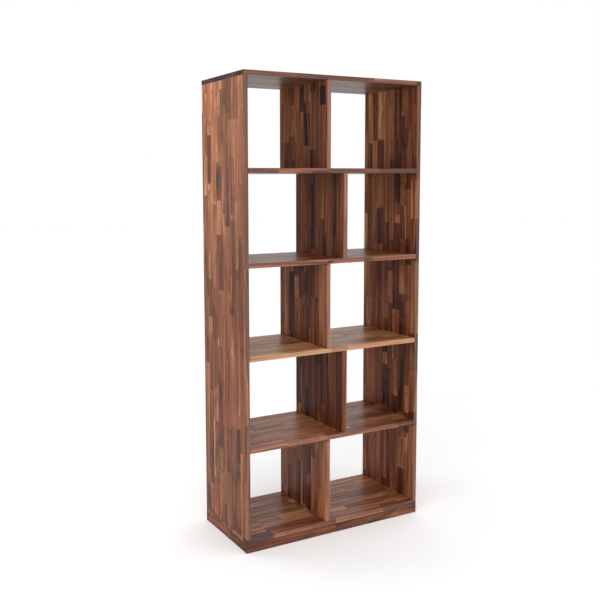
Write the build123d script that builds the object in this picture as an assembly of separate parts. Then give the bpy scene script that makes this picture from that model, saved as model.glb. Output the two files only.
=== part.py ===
from build123d import *
import os

# A free-standing open bookcase of solid boards.  Millimetres, +Z up, front towards -Y.
# The origin is on the floor, at the middle of the footprint.

# Overall sizes
width = 900.0
depth = 400.0
height = 2000.0

# Boards
board = 20.0  # thickness of every board
easing = 1.5  # radius that takes the sharpness off a board's long edges
plinth_height = 40.0
tiers = 5  # rows of compartments, counted from the top
divider_offset = 43.5  # from the middle plane to a divider's middle, to the left in odd tiers
end_gap = 0.5  # between a shelf's end and the side beside it
top_gap = 0.5  # between a divider's top end and the board above it

# Hidden shelf supports: a bent wire in each side, which a kerf in the shelf's end slides over
wire_diameter = 3.0
wire_leg = 9.0  # how far each end of the wire goes into the side
wire_standoff = 4.5  # from the side's face to the middle of the wire's straight run
wire_front_inset = 45.0  # from the front of the bookcase to the middle of the front leg
wire_back_inset = 30.0
kerf_clearance = 0.3  # above and below the wire
kerf_depth_clearance = 1.0  # past the wire, into the shelf
kerf_stop = 1.0  # between the front leg and the closed front end of the kerf
hole_relief = 1.0  # how much deeper a blind hole is than what goes into it
height_step = 32.0  # between the heights that a shelf can be hung at
spare_steps = (-1, 1)  # the spare wire holes, in steps from the shelf's place

# Dowels between the sides and the top and bottom panels
dowel_diameter = 8.0
dowel_length = 40.0
dowel_in_panel = 13.0  # the part of its length in the top or bottom panel
dowel_chamfer = 1.0
dowels_per_joint = 4
dowel_inset = 50.0  # from the front or back to the nearest dowel

# Countersunk wood screws
screw_diameter = 4.5
screw_head_diameter = 8.5
screw_head_height = 2.8
screw_head_rim = 0.4
screw_length = 50.0
screw_tip = 6.0
recess_length = 4.4
recess_width = 1.1
recess_depth = 1.8
screws_per_divider = 3
screw_inset = 60.0  # from the front or back to the nearest screw of a divider

# Corner blocks of the plinth
block_size = 32.0
block_floor_gap = 2.0  # keeps the blocks off an uneven floor

# Worked out from the sizes above
side_x = width / 2
face_x = side_x - board  # inner face of the right side
front_y = -depth / 2
back_y = depth / 2
bottom_z = plinth_height + board  # upper face of the bottom panel
top_z = height - board  # lower face of the top panel
clear_height = (top_z - bottom_z - (tiers - 1) * board) / tiers


def floor_z(tier):
    """Height of the board face that a tier stands on; tier 1 is the top one."""
    return bottom_z + (tiers - tier) * (clear_height + board)


def divider_x(tier):
    return -divider_offset if tier % 2 else divider_offset


def spread(count, inset):
    """Places along the depth, the first and last at the same inset from front and back."""
    step = (depth - 2 * inset) / (count - 1)
    return [front_y + inset + step * index for index in range(count)]


def block(x, y, z):
    """A plain block between the two values given for each axis."""
    spans = (x, y, z)
    middle = [(low + high) / 2 for low, high in spans]
    return Pos(*middle) * Box(*[high - low for low, high in spans])


def eased_board(x, y, z, axes):
    """A board whose edges along the given axes are rounded."""
    solid = block(x, y, z)
    edges = [edge for axis in axes for edge in solid.edges().filter_by(axis)]
    return fillet(edges, easing)


def upright_rod(place, diameter, length):
    """A cylinder that stands on the given place."""
    return Pos(*place) * Cylinder(diameter / 2, length, align=(Align.CENTER, Align.CENTER, Align.MIN))


def cut(solid, tools):
    for tool in tools:
        solid -= tool
    return solid


def group(solids):
    return Compound(list(solids))


# Fasteners

def screw(place, recessed=True):
    """A countersunk screw that points up, its head's flat face at the given place."""
    rim = screw_head_diameter / 2
    shank = screw_diameter / 2
    outline = Polyline(
        (0, 0, 0),
        (rim, 0, 0),
        (rim, 0, screw_head_rim),
        (shank, 0, screw_head_height),
        (shank, 0, screw_length - screw_tip),
        (0, 0, screw_length),
        close=True,
    )
    solid = revolve(make_face(outline), Axis.Z)
    if recessed:
        for turn in (0, 90):
            solid -= Rot(0, 0, turn) * Box(recess_length, recess_width, 2 * recess_depth)
    return Pos(*place) * solid


def dowel(place):
    """A dowel that stands on the given place."""
    rod = upright_rod(place, dowel_diameter, dowel_length)
    return chamfer(rod.edges().filter_by(GeomType.CIRCLE), dowel_chamfer)


def dowel_hole(place):
    """The room for a dowel, with relief past both its ends."""
    x, y, z = place
    return upright_rod((x, y, z - hole_relief), dowel_diameter, dowel_length + 2 * hole_relief)


def dowel_places(z):
    """Feet of the dowels along the middle of both sides."""
    middle_x = side_x - board / 2
    return [(x, y, z) for x in (-middle_x, middle_x) for y in spread(dowels_per_joint, dowel_inset)]


top_dowel_places = dowel_places(top_z + dowel_in_panel - dowel_length)
bottom_dowel_places = dowel_places(bottom_z - dowel_in_panel)


def divider_screw_places(tier):
    """Heads of the screws that hold a divider, in the underside of the board it stands on."""
    underside = floor_z(tier) - board
    return [(divider_x(tier), y, underside) for y in spread(screws_per_divider, screw_inset)]


def block_places():
    """Inner corners of the plinth, each with the directions towards the middle."""
    inner_y = back_y - board
    return [(x * face_x, y * inner_y, -x, -y) for x in (-1, 1) for y in (-1, 1)]


def block_screw_places():
    half = block_size / 2
    return [(x + dx * half, y + dy * half, block_floor_gap) for x, y, dx, dy in block_places()]


# Wire supports, made on the right side and mirrored for the left

wire_front_y = front_y + wire_front_inset
wire_back_y = back_y - wire_back_inset


def wire_z(tier):
    """Height of a wire: the middle of its shelf's thickness."""
    return floor_z(tier) - board / 2


def support_wire(tier):
    """A wire bent into a shallow U, its two legs in the side."""
    z = wire_z(tier)
    leg_x = face_x + wire_leg
    run_x = face_x - wire_standoff
    corners = [(leg_x, wire_front_y, z), (run_x, wire_front_y, z), (run_x, wire_back_y, z), (leg_x, wire_back_y, z)]
    path = FilletPolyline(*corners, radius=wire_standoff)
    section = Plane(origin=corners[0], z_dir=(-1, 0, 0)) * Circle(wire_diameter / 2)
    return sweep(section, path=path)


def wire_holes(tier):
    """Blind holes for the wire's legs, at the shelf's place and at its spare heights."""
    depth_in_side = wire_leg + hole_relief
    holes = []
    for step in (0, *spare_steps):
        for y in (wire_front_y, wire_back_y):
            place = (face_x, y, wire_z(tier) + step * height_step)
            rod = upright_rod((0, 0, 0), wire_diameter, depth_in_side)
            holes.append(Pos(*place) * Rot(0, 90, 0) * rod)
    return holes


def kerf(tier):
    """The slot in a shelf's right end: closed at the front, open at the back."""
    deepest_x = face_x - wire_standoff - wire_diameter / 2 - kerf_depth_clearance
    front_end = wire_front_y - wire_diameter / 2 - kerf_stop
    half_height = wire_diameter / 2 + kerf_clearance
    z = wire_z(tier)
    return block((deepest_x, face_x), (front_end, back_y), (z - half_height, z + half_height))


shelf_tiers = range(1, tiers)
support_wires = [support_wire(tier) for tier in shelf_tiers]


# Boards

def right_side():
    solid = eased_board((face_x, side_x), (front_y, back_y), (bottom_z, top_z), [Axis.Z])
    return cut(solid, [hole for tier in shelf_tiers for hole in wire_holes(tier)])


def with_dowel_holes(solid, places):
    return cut(solid, [dowel_hole(place) for place in places])


def side(mirrored):
    solid = mirror(right_side(), Plane.YZ) if mirrored else right_side()
    sign = -1 if mirrored else 1
    places = [place for place in top_dowel_places + bottom_dowel_places if place[0] * sign > 0]
    return with_dowel_holes(solid, places)


def full_panel(z):
    """The top or bottom panel: as wide and deep as the bookcase, with every edge rounded."""
    return eased_board((-side_x, side_x), (front_y, back_y), z, [Axis.X, Axis.Y, Axis.Z])


def bottom_panel():
    solid = with_dowel_holes(full_panel((plinth_height, bottom_z)), bottom_dowel_places)
    screws = [screw(place, recessed=False) for place in divider_screw_places(tiers) + block_screw_places()]
    return cut(solid, screws)


def shelf(tier):
    half_length = face_x - end_gap
    z = (floor_z(tier) - board, floor_z(tier))
    solid = eased_board((-half_length, half_length), (front_y, back_y), z, [Axis.X])
    slots = [kerf(tier), mirror(kerf(tier), Plane.YZ)]
    return cut(solid, slots + [screw(place, recessed=False) for place in divider_screw_places(tier)])


def divider(tier):
    x = divider_x(tier)
    z = (floor_z(tier), floor_z(tier) + clear_height - top_gap)
    solid = eased_board((x - board / 2, x + board / 2), (front_y, back_y), z, [Axis.Z])
    return cut(solid, [screw(place, recessed=False) for place in divider_screw_places(tier)])


def plinth_long(y):
    """The front or back board of the plinth, which runs the full width."""
    return eased_board((-side_x, side_x), y, (0, plinth_height), [Axis.X, Axis.Z])


def plinth_short(x):
    """An end board of the plinth, between the front and back boards."""
    return eased_board(x, (front_y + board, back_y - board), (0, plinth_height), [Axis.Y])


def plinth_block(x, y, dx, dy):
    """A block glued into a corner of the plinth and screwed up into the bottom panel."""
    x_span = sorted((x, x + dx * block_size))
    y_span = sorted((y, y + dy * block_size))
    return block(x_span, y_span, (block_floor_gap, plinth_height))


def plinth_blocks():
    blocks = [plinth_block(*place) for place in block_places()]
    screws = [screw(place, recessed=False) for place in block_screw_places()]
    return [cut(solid, [hole]) for solid, hole in zip(blocks, screws)]


nodes = {
    "left_side": side(mirrored=True),
    "right_side": side(mirrored=False),
    "top_panel": with_dowel_holes(full_panel((top_z, height)), top_dowel_places),
    "bottom_panel": bottom_panel(),
    "plinth_front": plinth_long((front_y, front_y + board)),
    "plinth_back": plinth_long((back_y - board, back_y)),
    "plinth_left": plinth_short((-side_x, -face_x)),
    "plinth_right": plinth_short((face_x, side_x)),
    "plinth_blocks": group(plinth_blocks()),
    "plinth_screws": group(screw(place) for place in block_screw_places()),
    "top_dowels": group(dowel(place) for place in top_dowel_places),
    "bottom_dowels": group(dowel(place) for place in bottom_dowel_places),
    "left_shelf_wires": group(mirror(wire, Plane.YZ) for wire in support_wires),
    "right_shelf_wires": group(support_wires),
}
for tier in shelf_tiers:
    nodes[f"shelf_{tier}"] = shelf(tier)
for tier in range(1, tiers + 1):
    nodes[f"divider_{tier}"] = divider(tier)
    nodes[f"divider_screws_{tier}"] = group(screw(place) for place in divider_screw_places(tier))

os.makedirs("parts", exist_ok=True)
for name, shape in nodes.items():
    export_step(shape, f"parts/{name}.step")
    print(name, len(shape.solids()), "solid(s)")
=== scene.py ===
import math

import bpy
from mathutils import Matrix, Vector

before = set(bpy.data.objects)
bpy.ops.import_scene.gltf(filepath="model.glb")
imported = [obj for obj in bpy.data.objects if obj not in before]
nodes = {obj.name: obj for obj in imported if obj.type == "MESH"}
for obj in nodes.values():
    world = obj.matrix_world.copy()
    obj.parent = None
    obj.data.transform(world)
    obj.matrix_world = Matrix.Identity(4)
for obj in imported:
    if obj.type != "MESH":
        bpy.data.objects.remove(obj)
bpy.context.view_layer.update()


# ---------------------------------------------------------------- node helpers

def linear(r, g, b):
    """A display colour, 0 to 255, as Blender's linear values with alpha."""
    def one(c):
        c /= 255
        return c / 12.92 if c <= 0.04045 else ((c + 0.055) / 1.055) ** 2.4
    return (one(r), one(g), one(b), 1.0)


class Tree:
    """Short calls for building a node tree. A value may be a socket, a number or a tuple."""

    def __init__(self, tree):
        self.tree = tree

    def feed(self, socket, value):
        if isinstance(value, bpy.types.NodeSocket):
            self.tree.links.new(value, socket)
        else:
            socket.default_value = value

    def add(self, kind, inputs=None, **settings):
        node = self.tree.nodes.new(kind)
        for name, value in settings.items():
            setattr(node, name, value)
        for key, value in (inputs or {}).items():
            self.feed(node.inputs[key], value)
        return node

    def math(self, operation, *values):
        return self.add("ShaderNodeMath", dict(enumerate(values)), operation=operation).outputs[0]

    def sum(self, *values):
        total = values[0]
        for value in values[1:]:
            total = self.math("ADD", total, value)
        return total

    def product(self, *values):
        total = values[0]
        for value in values[1:]:
            total = self.math("MULTIPLY", total, value)
        return total

    def fit(self, value, low_in, high_in, low_out=0.0, high_out=1.0, smooth=False):
        node = self.add(
            "ShaderNodeMapRange",
            {0: value, 1: low_in, 2: high_in, 3: low_out, 4: high_out},
            interpolation_type="SMOOTHSTEP" if smooth else "LINEAR",
        )
        return node.outputs[0]

    def vector(self, x, y, z):
        return self.add("ShaderNodeCombineXYZ", {0: x, 1: y, 2: z}).outputs[0]

    def noise(self, vector, detail=2.0, roughness=0.5, scale=1.0, dimensions="3D"):
        key = "W" if dimensions == "1D" else "Vector"
        node = self.add(
            "ShaderNodeTexNoise",
            {key: vector, "Scale": scale, "Detail": detail, "Roughness": roughness},
            noise_dimensions=dimensions,
        )
        return node.outputs[0]

    def random(self, x, y, z):
        """Four random numbers that are the same wherever x, y and z are."""
        node = self.add("ShaderNodeTexWhiteNoise", {"Vector": self.vector(x, y, z)}, noise_dimensions="3D")
        parts = self.add("ShaderNodeSeparateColor", {0: node.outputs["Color"]})
        return [node.outputs["Value"], *parts.outputs[:3]]

    def ramp(self, value, stops):
        node = self.add("ShaderNodeValToRGB", {0: value})
        elements = node.color_ramp.elements
        for element, (place, colour) in zip(elements, (stops[0], stops[-1])):
            element.position, element.color = place, colour
        for place, colour in stops[1:-1]:
            elements.new(place).color = colour
        return node.outputs[0]

    def blend(self, factor, a, b, mode="MIX"):
        node = self.add("ShaderNodeMix", data_type="RGBA", blend_type=mode)
        self.feed(node.inputs[0], factor)
        self.feed(node.inputs[6], a)
        self.feed(node.inputs[7], b)
        return node.outputs[2]

    def swap(self, factor, a, b):
        """The vector a where the factor is 0 and b where it is 1."""
        node = self.add("ShaderNodeMix", data_type="VECTOR")
        self.feed(node.inputs[0], factor)
        self.feed(node.inputs[4], a)
        self.feed(node.inputs[5], b)
        return node.outputs[1]

    def choose(self, factor, a, b):
        """The number a where the factor is 0 and b where it is 1."""
        node = self.add("ShaderNodeMix", {0: factor, 2: a, 3: b}, data_type="FLOAT")
        return node.outputs[0]


# ---------------------------------------------------------------- walnut

# Lengths are in metres, and tones run from 0, dark, to 1, pale
TURN = 2 * math.pi
STAVE_WIDTH = 0.043
STAVE_LENGTHS = (0.7, 1.35)  # shortest and longest in a row, as shares of the board's stave length
LENGTH_WAVE = 0.22  # how uneven the staves of a row are in length
ROW_WAVE = 0.12  # how uneven the rows are in width
ROW_WAVE_RATE = 1.9
ROW_SHIFT = 0.37  # rows that the pattern moves for each unit of seed
HEART_REACH = (0.02, 0.13)  # from a stave to the heart of its tree
RING_WIDTHS = (0.0022, 0.0042)
BAND_TONE = 0.22  # the most that growth bands add to a tone or take from it
STREAK_TONE = 0.23
FIBRE_TONE = 0.08
LATE_WOOD_TONE = -0.12
SAPWOOD_FROM = 0.94  # staves whose random number is higher have sapwood
SAPWOOD_SHARE = 0.75
GLUE_LINE = (0.0002, 0.0007)  # how far from a joint's middle its dark line starts to fade, and is gone
GLUE_DARK = 0.45
PORE_DARK = 0.35
END_GRAIN_DARK = 0.42

TONES = [
    (0.00, linear(42, 25, 21)),
    (0.20, linear(80, 46, 33)),
    (0.42, linear(113, 66, 43)),
    (0.62, linear(138, 86, 58)),
    (0.82, linear(164, 111, 78)),
    (1.00, linear(195, 145, 104)),
]
TINTS = [
    (0.00, (0.90, 1.05, 0.86, 1)),
    (0.20, (1.00, 1.02, 0.90, 1)),
    (0.50, (1.00, 1.00, 1.00, 1)),
    (0.78, (1.08, 0.95, 0.92, 1)),
    (1.00, (1.00, 0.94, 1.06, 1)),
]


def make_walnut_group():
    """Colour, roughness and height of a board glued up from walnut staves, from a place in it."""
    tree = bpy.data.node_groups.new("stave_walnut", "ShaderNodeTree")
    for name in ("Along", "Through", "Rows", "End", "Seed", "Tone", "Contrast", "Length"):
        tree.interface.new_socket(name, in_out="INPUT", socket_type="NodeSocketFloat")
    tree.interface.new_socket("Chosen", in_out="INPUT", socket_type="NodeSocketVector")
    tree.interface.new_socket("Color", in_out="OUTPUT", socket_type="NodeSocketColor")
    tree.interface.new_socket("Roughness", in_out="OUTPUT", socket_type="NodeSocketFloat")
    tree.interface.new_socket("Height", in_out="OUTPUT", socket_type="NodeSocketFloat")
    t = Tree(tree)
    given = t.add("NodeGroupInput").outputs
    along, through, rows, seed = (given[name] for name in ("Along", "Through", "Rows", "Seed"))
    across = t.product(rows, STAVE_WIDTH)
    row = t.math("FLOOR", rows)
    in_row = t.math("FRACT", rows)

    # A listed stave: its tone (nought where there is none), its tint and its middle
    chosen_tone, chosen_tint, chosen_middle = t.add("ShaderNodeSeparateXYZ", {0: given["Chosen"]}).outputs
    chosen = t.math("GREATER_THAN", chosen_tone, 0.0)

    # Staves along a row, their lengths uneven
    row_random = t.random(row, seed, 3.0)
    length = t.product(t.fit(row_random[0], 0, 1, *STAVE_LENGTHS), given["Length"])
    run = t.math("DIVIDE", along, length)
    wave = t.math("SINE", t.math("MULTIPLY_ADD", run, 2.1, t.product(row_random[1], TURN)))
    run = t.sum(run, t.product(wave, LENGTH_WAVE), t.product(row_random[2], 9.0))
    cell = t.choose(chosen, t.math("FLOOR", run), t.product(chosen_middle, 100.0))

    look = t.random(row, cell, seed)
    cut = t.random(t.sum(row, 0.5), t.sum(cell, 0.5), t.sum(seed, 7.0))
    extra = t.random(t.sum(row, 0.25), t.sum(cell, 0.75), t.sum(seed, 13.0))

    # Growth rings round the tree's heart, which lies beside the stave and slopes a little
    from_middle = t.product(t.sum(in_row, -0.5), STAVE_WIDTH)
    from_centre = t.math("MULTIPLY", t.sum(t.math("FRACT", run), -0.5), length)
    from_centre = t.choose(chosen, from_centre, t.math("SUBTRACT", along, chosen_middle))
    angle = t.product(cut[0], TURN)
    reach = t.fit(cut[1], 0, 1, *HEART_REACH)
    slope_across = t.fit(cut[2], 0, 1, -0.035, 0.035)
    slope_through = t.fit(cut[3], 0, 1, -0.06, 0.06)
    ring_y = t.sum(
        from_middle,
        t.math("MULTIPLY", t.math("COSINE", angle), reach),
        t.math("MULTIPLY", slope_across, from_centre),
    )
    ring_z = t.sum(
        through,
        t.math("MULTIPLY", t.math("SINE", angle), reach),
        t.math("MULTIPLY", slope_through, from_centre),
    )
    wander = t.noise(
        t.vector(
            t.math("MULTIPLY_ADD", along, 5.0, t.product(look[1], 40.0)),
            t.math("MULTIPLY_ADD", across, 16.0, t.product(look[2], 40.0)),
            t.product(through, 16.0),
        ),
        detail=1.0,
    )
    ring = t.sum(
        t.math("SQRT", t.math("ADD", t.math("POWER", ring_y, 2.0), t.math("POWER", ring_z, 2.0))),
        t.fit(wander, 0.25, 0.75, -0.005, 0.005),
        t.product(look[3], 3.0),
    )
    bands = t.noise(t.product(ring, 70.0), detail=3.0, roughness=0.55, dimensions="1D")
    ring_width = t.fit(extra[0], 0, 1, *RING_WIDTHS)
    late = t.math("FRACT", t.math("DIVIDE", ring, ring_width))
    late = t.math("POWER", late, 3.0)

    # Fibres, streaks and pores run along the grain
    def drawn_out(along_rate, across_rate, shift, detail):
        """Noise stretched along the grain. The rates are per metre, along the grain and across it."""
        place = t.vector(
            t.math("MULTIPLY_ADD", along, along_rate, shift),
            t.product(across, across_rate),
            t.product(through, across_rate),
        )
        return t.noise(place, detail=detail)

    fibres = drawn_out(9.0, 520.0, t.product(look[1], 50.0), 2.0)
    streaks = drawn_out(2.2, 75.0, t.product(look[2], 50.0), 2.0)
    pores = t.fit(drawn_out(85.0, 1300.0, 0.0, 1.0), 0.60, 0.72, smooth=True)
    pores = t.math("MULTIPLY", pores, t.fit(late, 0.0, 1.0, 0.5, 1.0))

    # Tone and colour of each stave
    tone = t.math("MULTIPLY_ADD", given["Contrast"], t.sum(look[0], -0.5), given["Tone"])
    tone = t.sum(
        t.choose(chosen, tone, chosen_tone),
        t.fit(bands, 0.25, 0.75, -BAND_TONE, BAND_TONE),
        t.fit(streaks, 0.30, 0.70, -STREAK_TONE, STREAK_TONE),
        t.fit(fibres, 0.25, 0.75, -FIBRE_TONE, FIBRE_TONE),
        t.product(late, LATE_WOOD_TONE),
    )
    colour = t.ramp(tone, TONES)
    tint = t.choose(chosen, extra[1], chosen_tint)
    colour = t.blend(1.0, colour, t.ramp(tint, TINTS), mode="MULTIPLY")

    # Pale sapwood along one side of a few of the random staves
    wavy = t.fit(wander, 0.25, 0.75, -0.006, 0.006)
    side = t.math("MULTIPLY", from_middle, t.math("SIGN", t.sum(extra[2], -0.5)))
    sap = t.fit(t.math("ADD", side, wavy), 0.008, 0.012, smooth=True)
    has_sapwood = t.math("GREATER_THAN", t.math("SUBTRACT", extra[3], chosen), SAPWOOD_FROM)
    sap = t.math("MULTIPLY", sap, has_sapwood)
    sap_colour = t.ramp(t.sum(tone, 0.25), [(0.3, linear(158, 108, 72)), (1.0, linear(202, 154, 110))])
    colour = t.blend(t.product(sap, SAPWOOD_SHARE), colour, sap_colour)

    # Glue lines, pores and end grain
    row_gap = t.product(t.math("PINGPONG", rows, 0.5), STAVE_WIDTH)
    cell_gap = t.math("MULTIPLY_ADD", t.math("PINGPONG", run, 0.5), length, chosen)
    glue = t.fit(t.math("MINIMUM", row_gap, cell_gap), *GLUE_LINE, 1.0, 0.0, smooth=True)
    dark = t.math("MAXIMUM", t.product(glue, GLUE_DARK), t.product(pores, PORE_DARK))
    dark = t.math("MAXIMUM", dark, t.product(given["End"], END_GRAIN_DARK))
    colour = t.blend(dark, colour, t.blend(1.0, colour, linear(120, 96, 90), mode="MULTIPLY"))

    height = t.sum(
        t.product(late, -0.25),
        t.product(fibres, 0.5),
        t.product(pores, -1.0),
        t.product(glue, -0.8),
    )
    roughness = t.sum(
        0.33,
        t.product(fibres, 0.10),
        t.product(pores, 0.12),
        t.product(given["End"], 0.12),
    )
    out = t.add("NodeGroupOutput")
    t.feed(out.inputs["Color"], colour)
    t.feed(out.inputs["Roughness"], roughness)
    t.feed(out.inputs["Height"], height)
    return tree


walnut_group = make_walnut_group()


def new_material(name):
    material = bpy.data.materials.new(name)
    material.use_nodes = True
    t = Tree(material.node_tree)
    shader = material.node_tree.nodes["Principled BSDF"]
    return material, t, shader


def row_at(across, seed):
    """The number of the row of staves at a place across a board, as the nodes work it out."""
    rows = across / STAVE_WIDTH
    return math.floor(rows + ROW_WAVE * math.sin(ROW_WAVE_RATE * rows + seed) + ROW_SHIFT * seed)


def walnut(
    name,
    grain,
    seed,
    tone,
    contrast,
    length=0.27,
    painted_light_drift=0.0,
    middle=(0, 0, 0),
    chosen=(),
    painted_sheen_shade=(0.0, 0.0),
    ior=1.2,
    end=1.0,
    lift=0.0,
):
    """Walnut whose grain runs along the first axis named, its rows side by side along the second.

    A chosen stave is its row's place, its two ends, its tone and its tint. The painted light drift is
    how much the tone of the other staves grows in each metre along the grain: on the two sides, whose
    grain runs upright, it is painted light, paler towards the top where the light falls stronger.
    The lift is added to the chosen tones. The painted sheen and shade is how much of the faces that
    look forward is blended to grey, and which grey: a pale grey is painted sheen and a dark grey is
    painted shade on those faces.
    """
    material, t, shader = new_material(name)
    place = t.add("ShaderNodeTexCoord").outputs
    parts = t.add("ShaderNodeSeparateXYZ", {0: place["Object"]}).outputs
    facing = t.add("ShaderNodeSeparateXYZ", {0: place["Normal"]}).outputs
    order = ["xyz".index(axis) for axis in grain]
    along, across, through = (t.sum(parts[axis], -middle[axis]) for axis in order)
    rows = t.math("DIVIDE", across, STAVE_WIDTH)
    wave = t.math("SINE", t.math("MULTIPLY_ADD", rows, ROW_WAVE_RATE, seed))
    rows = t.sum(t.math("MULTIPLY_ADD", wave, ROW_WAVE, rows), ROW_SHIFT * seed)
    places = {"Along": along, "Through": through, "Rows": rows}
    group = t.add("ShaderNodeGroup", places, node_tree=walnut_group)
    if chosen:
        row = t.math("FLOOR", rows)
        # One mask for each row, because a shader with a row test in every stave came out black
        numbers = sorted({row_at(stave[0], seed) for stave in chosen})
        in_row = {number: t.math("COMPARE", row, number, 0.1) for number in numbers}
        total = (0, 0, 0)
        for place_across, start, stop, its_tone, its_tint in chosen:
            centre = (start + stop) / 2 - middle[order[0]]
            in_stave = t.math("COMPARE", along, centre, (stop - start) / 2)
            inside = t.math("MULTIPLY", in_row[row_at(place_across, seed)], in_stave)
            total = t.swap(inside, total, (its_tone + lift, its_tint, centre))
        t.feed(group.inputs["Chosen"], total)
    end_grain = t.fit(t.math("ABSOLUTE", facing[order[0]]), 0.6, 0.85, 0.0, end, smooth=True)
    t.feed(group.inputs["End"], end_grain)
    # Painted light: the tone grows along the grain, so the upright sides are paler towards the top
    t.feed(group.inputs["Tone"], t.math("MULTIPLY_ADD", along, painted_light_drift, tone) if painted_light_drift else tone)
    for key, value in (("Seed", seed), ("Contrast", contrast), ("Length", length)):
        group.inputs[key].default_value = value
    share, grey = painted_sheen_shade
    # Painted sheen and shade: faces that look forward are blended towards a grey, pale on most boards, dark
    # on the sides
    front = t.fit(facing[1], -0.8, -0.95, 0.0, share, smooth=True)
    t.feed(shader.inputs["Base Color"], t.blend(front, group.outputs["Color"], (grey, grey, grey, 1)))
    t.feed(shader.inputs["Roughness"], group.outputs["Roughness"])
    shader.inputs["IOR"].default_value = ior
    bump = t.add("ShaderNodeBump", {"Strength": 0.35, "Distance": 0.0003, "Height": group.outputs["Height"]})
    t.feed(shader.inputs["Normal"], bump.outputs[0])
    return material


# ---------------------------------------------------------------- other materials

def beech():
    """Pale straight-grained beech with short dark flecks, its grain upright."""
    material, t, shader = new_material("beech")
    place = t.add("ShaderNodeTexCoord").outputs["Object"]
    stretched = t.add("ShaderNodeMapping", {"Vector": place, "Scale": (300.0, 300.0, 12.0)}).outputs[0]
    grain = t.noise(stretched, detail=3.0)
    flecks = t.add("ShaderNodeMapping", {"Vector": place, "Scale": (900.0, 900.0, 160.0)}).outputs[0]
    flecks = t.fit(t.noise(flecks, detail=1.0), 0.62, 0.72, smooth=True)
    stops = [(0.25, linear(190, 146, 104)), (0.55, linear(214, 172, 128)), (0.8, linear(226, 190, 148))]
    colour = t.ramp(grain, stops)
    colour = t.blend(t.product(flecks, 0.5), colour, linear(160, 112, 74))
    t.feed(shader.inputs["Base Color"], colour)
    t.feed(shader.inputs["Roughness"], t.fit(grain, 0.2, 0.8, 0.5, 0.65))
    bump = t.add("ShaderNodeBump", {"Strength": 0.3, "Distance": 0.0002, "Height": grain})
    t.feed(shader.inputs["Normal"], bump.outputs[0])
    return material


def metal(name, dark, light, rough, stretch):
    """Plain metal with fine scratches, which the stretch draws out, and cloudy wear."""
    material, t, shader = new_material(name)
    place = t.add("ShaderNodeTexCoord").outputs["Object"]
    scratches = t.add("ShaderNodeMapping", {"Vector": place, "Scale": stretch}).outputs[0]
    scratches = t.noise(scratches, detail=3.0)
    clouds = t.noise(place, scale=160.0, detail=3.0)
    worn = t.math("ADD", t.product(scratches, 0.5), t.product(clouds, 0.5))
    t.feed(shader.inputs["Base Color"], t.ramp(worn, [(0.3, dark), (0.7, light)]))
    t.feed(shader.inputs["Roughness"], t.fit(worn, 0.3, 0.7, rough + 0.12, rough))
    shader.inputs["Metallic"].default_value = 1.0
    bump = t.add("ShaderNodeBump", {"Strength": 0.15, "Distance": 0.0001, "Height": scratches})
    t.feed(shader.inputs["Normal"], bump.outputs[0])
    return material


# ---------------------------------------------------------------- which node gets which

def dress(name, material):
    for slot in nodes[name].material_slots:
        slot.link = "OBJECT"
        slot.material = material


# The staves that stand out, listed for each board: the row's place, both ends, the tone, the tint
LEFT_SIDE = [
    (0.125, 1.55, 1.76, 0.36, 0.95), (-0.088, 1.42, 1.655, 0.42, 0.95), (-0.13, 1.81, 1.98, 0.48, 0.75),
    (0.04, 1.09, 1.33, 0.42, 0.95), (0.13, 1.13, 1.52, 0.62, 0.30), (0.088, 1.10, 1.46, 0.62, 0.45),
    (0.088, 0.86, 1.10, 0.46, 0.88), (0.04, 0.88, 1.07, 0.50, 0.80), (0.15, 0.87, 1.05, 0.46, 0.95),
    (0.125, 0.63, 0.835, 0.42, 0.78), (0.082, 0.61, 0.86, 0.58, 0.28), (0.042, 0.62, 0.84, 0.38, 0.90),
    (0.042, 0.40, 0.62, 0.32, 0.70), (0.042, 0.29, 0.395, 0.40, 0.02), (0.125, 0.44, 0.62, 0.34, 0.80),
    (0.125, 0.29, 0.36, 0.40, 0.06), (-0.085, 0.52, 1.00, 0.49, 0.72), (0.0, 0.50, 0.85, 0.54, 0.78),
    (-0.04, 0.50, 0.85, 0.57, 0.74), (-0.13, 0.52, 0.94, 0.62, 0.74), (0.125, 0.07, 0.20, 0.64, 0.60),
    (0.0, 0.15, 0.30, 0.60, 0.35), (-0.04, 0.05, 0.30, 0.44, 0.60), (0.04, 0.07, 0.285, 0.62, 0.60),
    (-0.088, 0.07, 0.30, 0.44, 0.78), (0.195, 0.05, 0.50, 0.34, 0.95), (0.195, 1.42, 1.62, 0.36, 0.95),
    (-0.195, 0.06, 0.55, 0.50, 0.75), (-0.195, 0.55, 1.20, 0.60, 0.65), (-0.195, 1.20, 1.98, 0.56, 0.85),
]
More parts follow.
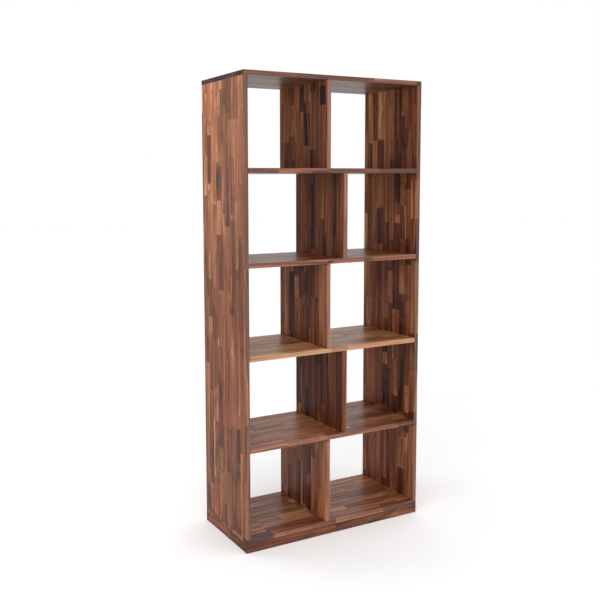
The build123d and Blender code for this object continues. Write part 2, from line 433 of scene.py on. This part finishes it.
RIGHT_SIDE = [
    (0.075, 1.755, 1.98, 0.78, 0.18), (0.15, 1.74, 1.98, 0.62, 0.15), (0.115, 1.75, 1.98, 0.34, 0.95),
    (0.115, 1.62, 1.745, 0.74, 0.40), (0.07, 1.62, 1.75, 0.32, 0.70), (0.02, 1.62, 1.98, 0.58, 0.30),
    (-0.01, 1.66, 1.98, 0.50, 0.50), (-0.095, 1.70, 1.80, 0.28, 0.90), (-0.145, 1.52, 1.60, 0.12, 0.95),
    (0.115, 1.39, 1.59, 0.66, 0.18), (0.02, 1.36, 1.59, 0.54, 0.25), (0.07, 1.43, 1.59, 0.56, 0.30),
    (0.07, 1.255, 1.41, 0.24, 0.95), (0.115, 1.255, 1.385, 0.38, 0.95), (-0.015, 1.28, 1.59, 0.50, 0.35),
    (-0.06, 1.22, 1.36, 0.22, 0.60), (-0.06, 1.36, 1.40, 0.56, 0.70), (-0.10, 1.44, 1.55, 0.56, 0.70),
    (-0.015, 0.98, 1.13, 0.60, 0.60), (-0.015, 0.87, 0.97, 0.24, 0.60), (-0.06, 0.95, 1.20, 0.20, 0.95),
    (-0.145, 1.03, 1.17, 0.52, 0.60), (-0.145, 0.81, 1.03, 0.32, 0.70), (0.07, 0.84, 1.20, 0.34, 0.85),
    (0.115, 0.84, 1.20, 0.38, 0.88), (0.02, 0.90, 1.20, 0.40, 0.80), (0.025, 0.41, 0.47, 0.72, 0.25),
    (0.025, 0.67, 0.73, 0.70, 0.20), (-0.015, 0.41, 0.66, 0.22, 0.60), (-0.145, 0.47, 0.60, 0.70, 0.70),
    (0.07, 0.46, 0.80, 0.44, 0.95), (0.115, 0.46, 0.80, 0.42, 0.90), (0.15, 0.44, 0.80, 0.50, 0.80),
    (-0.145, 0.06, 0.35, 0.66, 0.55), (-0.185, 0.06, 0.42, 0.58, 0.60), (-0.015, 0.06, 0.17, 0.34, 0.70),
    (-0.095, 0.06, 0.19, 0.34, 0.80), (-0.06, 0.06, 0.42, 0.60, 0.95), (0.15, 0.06, 0.42, 0.58, 0.95),
    (0.115, 0.06, 0.42, 0.60, 0.90), (0.07, 0.06, 0.42, 0.64, 0.85), (0.02, 0.10, 0.42, 0.62, 0.97),
]
SHELF_1 = [
    (-0.19, -0.43, -0.29, 0.54, 0.90), (-0.19, -0.29, -0.13, 0.58, 0.80), (-0.19, -0.13, -0.04, 0.46, 0.85),
    (-0.19, -0.04, 0.14, 0.48, 0.95), (-0.19, 0.14, 0.22, 0.56, 0.50), (-0.19, 0.22, 0.43, 0.44, 0.75),
]
SHELF_2 = [
    (-0.19, -0.43, -0.05, 0.60, 0.80), (-0.19, -0.05, -0.02, 0.40, 0.80), (-0.19, -0.02, 0.14, 0.52, 0.92),
    (-0.19, 0.14, 0.19, 0.42, 0.75), (-0.19, 0.19, 0.43, 0.62, 0.80),
]
SHELF_3 = [
    (-0.19, -0.43, -0.24, 0.84, 0.55), (-0.19, -0.24, -0.03, 0.90, 0.40), (-0.19, -0.03, 0.06, 0.82, 0.60),
    (-0.19, 0.06, 0.34, 0.82, 0.65), (-0.19, 0.34, 0.43, 0.94, 0.40), (0.15, -0.43, 0.10, 0.72, 0.20),
    (0.15, 0.10, 0.43, 0.78, 0.40), (0.11, 0.12, 0.43, 0.68, 0.35),
]
SHELF_4 = [
    (-0.19, -0.43, -0.25, 0.60, 0.90), (-0.19, -0.25, -0.09, 0.64, 0.70), (-0.19, -0.09, -0.05, 0.74, 0.40),
    (-0.19, -0.05, 0.34, 0.52, 0.85), (-0.19, 0.34, 0.43, 0.34, 0.90), (-0.137, -0.26, 0.02, 0.66, 0.50),
]
BOTTOM_PANEL = [
    (-0.19, -0.45, -0.32, 0.30, 0.95), (-0.19, -0.32, -0.12, 0.58, 0.60), (-0.19, -0.12, 0.0, 0.38, 0.75),
    (-0.19, 0.0, 0.26, 0.68, 0.50), (-0.19, 0.26, 0.45, 0.50, 0.75), (-0.06, -0.21, -0.07, 0.98, 0.50),
    (-0.02, -0.11, -0.04, 0.86, 0.40), (-0.105, -0.32, -0.07, 0.88, 0.60), (-0.105, 0.02, 0.11, 1.00, 0.40),
    (-0.105, 0.11, 0.20, 0.36, 0.95), (-0.15, -0.33, -0.04, 0.46, 0.78), (0.115, 0.21, 0.43, 0.80, 0.80),
]
DIVIDER_1 = [
    (-0.035, 1.713, 1.853, 0.14, 0.90), (-0.16, 1.88, 1.96, 0.08, 0.60), (0.045, 1.87, 1.98, 0.60, 0.55),
    (0.09, 1.76, 1.90, 0.58, 0.40), (-0.125, 1.61, 1.98, 0.44, 0.50), (-0.16, 1.61, 1.88, 0.44, 0.75),
    (-0.195, 1.61, 1.98, 0.56, 0.70),
]
DIVIDER_2 = [
    (0.10, 1.23, 1.46, 0.22, 0.60), (-0.085, 1.33, 1.51, 0.54, 0.45), (-0.085, 1.22, 1.32, 0.32, 0.90),
    (-0.12, 1.22, 1.32, 0.30, 0.90),
]
DIVIDER_3 = [
    (0.145, 0.84, 1.16, 0.66, 0.30), (0.095, 0.87, 1.144, 0.20, 0.75), (0.045, 0.84, 1.13, 0.58, 0.45),
    (0.01, 1.03, 1.15, 0.30, 0.90), (-0.04, 1.05, 1.15, 0.28, 0.90), (-0.15, 0.84, 1.20, 0.74, 0.40),
    (-0.19, 0.84, 1.20, 0.58, 0.80),
]
DIVIDER_4 = [(-0.19, 0.448, 0.816, 0.50, 0.70)]
DIVIDER_5 = [
    (0.18, 0.06, 0.42, 0.44, 0.95), (-0.05, 0.23, 0.36, 0.30, 0.90), (-0.085, 0.07, 0.32, 0.66, 0.55),
    (-0.14, 0.195, 0.375, 0.66, 0.45), (-0.19, 0.06, 0.42, 0.80, 0.65),
]
PLINTH_FRONT = [
    (0.0, -0.45, -0.17, 0.44, 0.70), (0.0, -0.17, -0.003, 0.50, 0.80), (0.0, -0.003, 0.17, 0.34, 0.85),
    (0.0, 0.17, 0.34, 0.40, 0.75), (0.0, 0.34, 0.45, 0.50, 0.70),
]
TOP_PANEL = [
    (-0.19, -0.45, -0.20, 0.44, 0.85), (-0.19, -0.20, -0.05, 0.40, 0.90), (-0.19, -0.05, 0.19, 0.46, 0.75),
    (-0.19, 0.19, 0.42, 0.52, 0.75), (-0.19, 0.42, 0.45, 0.30, 0.75),
]

# What boards of one kind share. The low IORs suit this studio's light, and the grey on forward faces
# is painted sheen and shade for it; finished walnut has an IOR near 1.5.
SIDE = dict(grain="zyx", middle=(0, 0, 1))
LEVEL = dict(grain="xyz", painted_sheen_shade=(0.06, 0.50), ior=1.3)
DIVIDER = dict(grain="zyx", length=0.24, painted_sheen_shade=(0.12, 0.60), ior=1.14)
LONG_PLINTH = dict(grain="xzy", contrast=0.30, middle=(0, 0, 0.02))
SHORT_PLINTH = dict(grain="yzx", contrast=0.30, middle=(0, 0, 0.02))

# Seeds with a fraction were searched for, so that the rows of staves fall where the real ones do
WALNUT = {
    # On both sides the drift is painted light: paler towards the top, where the light falls stronger
    "left_side": SIDE | dict(
        seed=106.85, tone=0.55, contrast=0.40, length=0.30, painted_light_drift=0.12,
        chosen=LEFT_SIDE, painted_sheen_shade=(0.36, 0.13), lift=0.02,
    ),
    "right_side": SIDE | dict(
        seed=113.2, tone=0.46, contrast=0.46, length=0.24, painted_light_drift=0.06,
        chosen=RIGHT_SIDE, painted_sheen_shade=(0.30, 0.17), ior=1.16, lift=0.06,
    ),
    "top_panel": LEVEL | dict(seed=11.0, tone=0.32, contrast=0.36, chosen=TOP_PANEL, end=1.9, lift=-0.10),
    "bottom_panel": LEVEL | dict(seed=113.3, tone=0.72, contrast=0.40, chosen=BOTTOM_PANEL),
    "plinth_front": LONG_PLINTH | dict(
        seed=23.0, tone=0.42, chosen=PLINTH_FRONT, painted_sheen_shade=(0.05, 0.3), lift=-0.05,
    ),
    "plinth_back": LONG_PLINTH | dict(seed=29.0, tone=0.42),
    "plinth_left": SHORT_PLINTH | dict(seed=31.0, tone=0.60),
    "plinth_right": SHORT_PLINTH | dict(seed=37.0, tone=0.46),
    "shelf_1": LEVEL | dict(seed=43.0, tone=0.50, contrast=0.42, chosen=SHELF_1, lift=-0.04),
    "shelf_2": LEVEL | dict(seed=46.0, tone=0.52, contrast=0.42, chosen=SHELF_2),
    "shelf_3": LEVEL | dict(seed=13.15, tone=0.84, contrast=0.44, chosen=SHELF_3, lift=0.06),
    "shelf_4": LEVEL | dict(seed=112.7, tone=0.70, contrast=0.44, chosen=SHELF_4),
    "divider_1": DIVIDER | dict(seed=11.9, tone=0.38, contrast=0.40, chosen=DIVIDER_1),
    "divider_2": DIVIDER | dict(seed=5.95, tone=0.36, contrast=0.40, chosen=DIVIDER_2),
    "divider_3": DIVIDER | dict(
        seed=11.55, tone=0.40, contrast=0.34, chosen=DIVIDER_3, painted_sheen_shade=(0.12, 0.70),
    ),
    "divider_4": DIVIDER | dict(
        seed=71.0, tone=0.28, contrast=0.22, length=0.30, chosen=DIVIDER_4, painted_sheen_shade=(0.05, 0.40),
    ),
    "divider_5": DIVIDER | dict(
        seed=7.55, tone=0.56, contrast=0.40, chosen=DIVIDER_5, painted_sheen_shade=(0.08, 0.50), ior=1.2,
    ),
}
for name, look in WALNUT.items():
    dress(name, walnut(f"walnut_{name}", **look))

beech_wood = beech()
zinc = metal("zinc_plated_steel", (0.42, 0.42, 0.40, 1), (0.66, 0.67, 0.66, 1), 0.30, (400.0, 400.0, 400.0))
steel = metal("drawn_steel", (0.44, 0.44, 0.45, 1), (0.62, 0.62, 0.63, 1), 0.22, (900.0, 40.0, 900.0))
for name in nodes:
    if "screws" in name:
        dress(name, zinc)
    elif "wires" in name:
        dress(name, steel)
    elif "dowels" in name or name == "plinth_blocks":
        dress(name, beech_wood)


# ---------------------------------------------------------------- studio

SURROUNDINGS = 1.1  # how bright the white studio is as a light
CORNER_LIGHT = 0.1  # the same in its dim corner
DIM_CORNER = (-0.55, 0.83, 0.05)  # the direction of that corner, behind and to the left
KEY_POWER = 30.0
PANEL_POWER = 10.0
FLOOR_GLOW = 0.10
FLOOR_HALF = 25.0  # from the floor's middle to each edge
FLOOR_GREYS = (0.95, 0.97)
CAMERA_PLACE = (-1.9433, -3.0819, 1.5491)
CAMERA_ANGLES = (28.133, -5.707, -0.357)  # right of +Y, up, anticlockwise from behind, in degrees
CAMERA_SHIFT = (0.075, -0.06)
LENS = 48.31  # in millimetres, as is the sensor
SENSOR_WIDTH = 36.0


def make_floor():
    """A wide white floor that also glows a little."""
    mesh = bpy.data.meshes.new("floor")
    corners = [(FLOOR_HALF * x, FLOOR_HALF * y, 0) for x, y in ((-1, -1), (1, -1), (1, 1), (-1, 1))]
    mesh.from_pydata(corners, [], [(0, 1, 2, 3)])
    floor = bpy.data.objects.new("floor", mesh)
    bpy.context.scene.collection.objects.link(floor)
    material, t, shader = new_material("white_floor")
    speckle = t.noise(t.add("ShaderNodeTexCoord").outputs["Object"], scale=3.0, detail=2.0)
    dark, light = [(grey, grey, grey, 1) for grey in FLOOR_GREYS]
    t.feed(shader.inputs["Base Color"], t.ramp(speckle, [(0.3, dark), (0.7, light)]))
    shader.inputs["Roughness"].default_value = 0.9
    shader.inputs["Specular IOR Level"].default_value = 0.0
    shader.inputs["Emission Color"].default_value = (1, 1, 1, 1)
    shader.inputs["Emission Strength"].default_value = FLOOR_GLOW
    mesh.materials.append(material)


def make_world():
    """White surroundings. The camera sees them plain white. As a light they have one dim corner."""
    world = bpy.data.worlds.new("studio")
    world.use_nodes = True
    bpy.context.scene.world = world
    t = Tree(world.node_tree)
    background = world.node_tree.nodes["Background"]
    background.inputs["Color"].default_value = (1, 1, 1, 1)
    direction = t.add("ShaderNodeTexCoord").outputs["Generated"]
    towards = t.add("ShaderNodeVectorMath", {0: direction, 1: DIM_CORNER}, operation="DOT_PRODUCT")
    light = t.fit(towards.outputs["Value"], 0.3, 0.9, SURROUNDINGS, CORNER_LIGHT, smooth=True)
    seen = t.add("ShaderNodeLightPath").outputs["Is Camera Ray"]
    t.feed(background.inputs["Strength"], t.choose(seen, light, 1.0))


def area_light(name, place, target, size, power):
    data = bpy.data.lights.new(name, "AREA")
    data.shape = "RECTANGLE"
    data.size, data.size_y = size
    data.energy = power
    light = bpy.data.objects.new(name, data)
    bpy.context.scene.collection.objects.link(light)
    light.location = place
    light.rotation_euler = (Vector(target) - Vector(place)).to_track_quat("-Z", "Y").to_euler()
    light.visible_camera = False


def make_camera():
    """From the front and the left, at eye height, looking slightly down."""
    data = bpy.data.cameras.new("camera")
    data.sensor_width = SENSOR_WIDTH
    data.lens = LENS
    data.shift_x, data.shift_y = CAMERA_SHIFT
    data.clip_end = 200.0
    camera = bpy.data.objects.new("camera", data)
    bpy.context.scene.collection.objects.link(camera)
    yaw, pitch, roll = (math.radians(angle) for angle in CAMERA_ANGLES)
    forward = Vector((math.sin(yaw) * math.cos(pitch), math.cos(yaw) * math.cos(pitch), math.sin(pitch)))
    right = Vector((math.cos(yaw), -math.sin(yaw), 0))
    up = right.cross(forward)
    rolled_right = right * math.cos(roll) + up * math.sin(roll)
    rolled_up = up * math.cos(roll) - right * math.sin(roll)
    turn = Matrix((rolled_right, rolled_up, -forward)).transposed()
    camera.matrix_world = Matrix.Translation(CAMERA_PLACE) @ turn.to_4x4()
    bpy.context.scene.camera = camera


make_floor()
make_world()
area_light("key", place=(-3.4, -2.4, 3.4), target=(0, 0, 1.0), size=(2.6, 2.6), power=KEY_POWER)
area_light("panel", place=(-1.45, 1.0, 1.8), target=(-0.45, 0, 1.5), size=(0.9, 1.3), power=PANEL_POWER)
make_camera()
bpy.context.scene.view_settings.view_transform = "Standard"
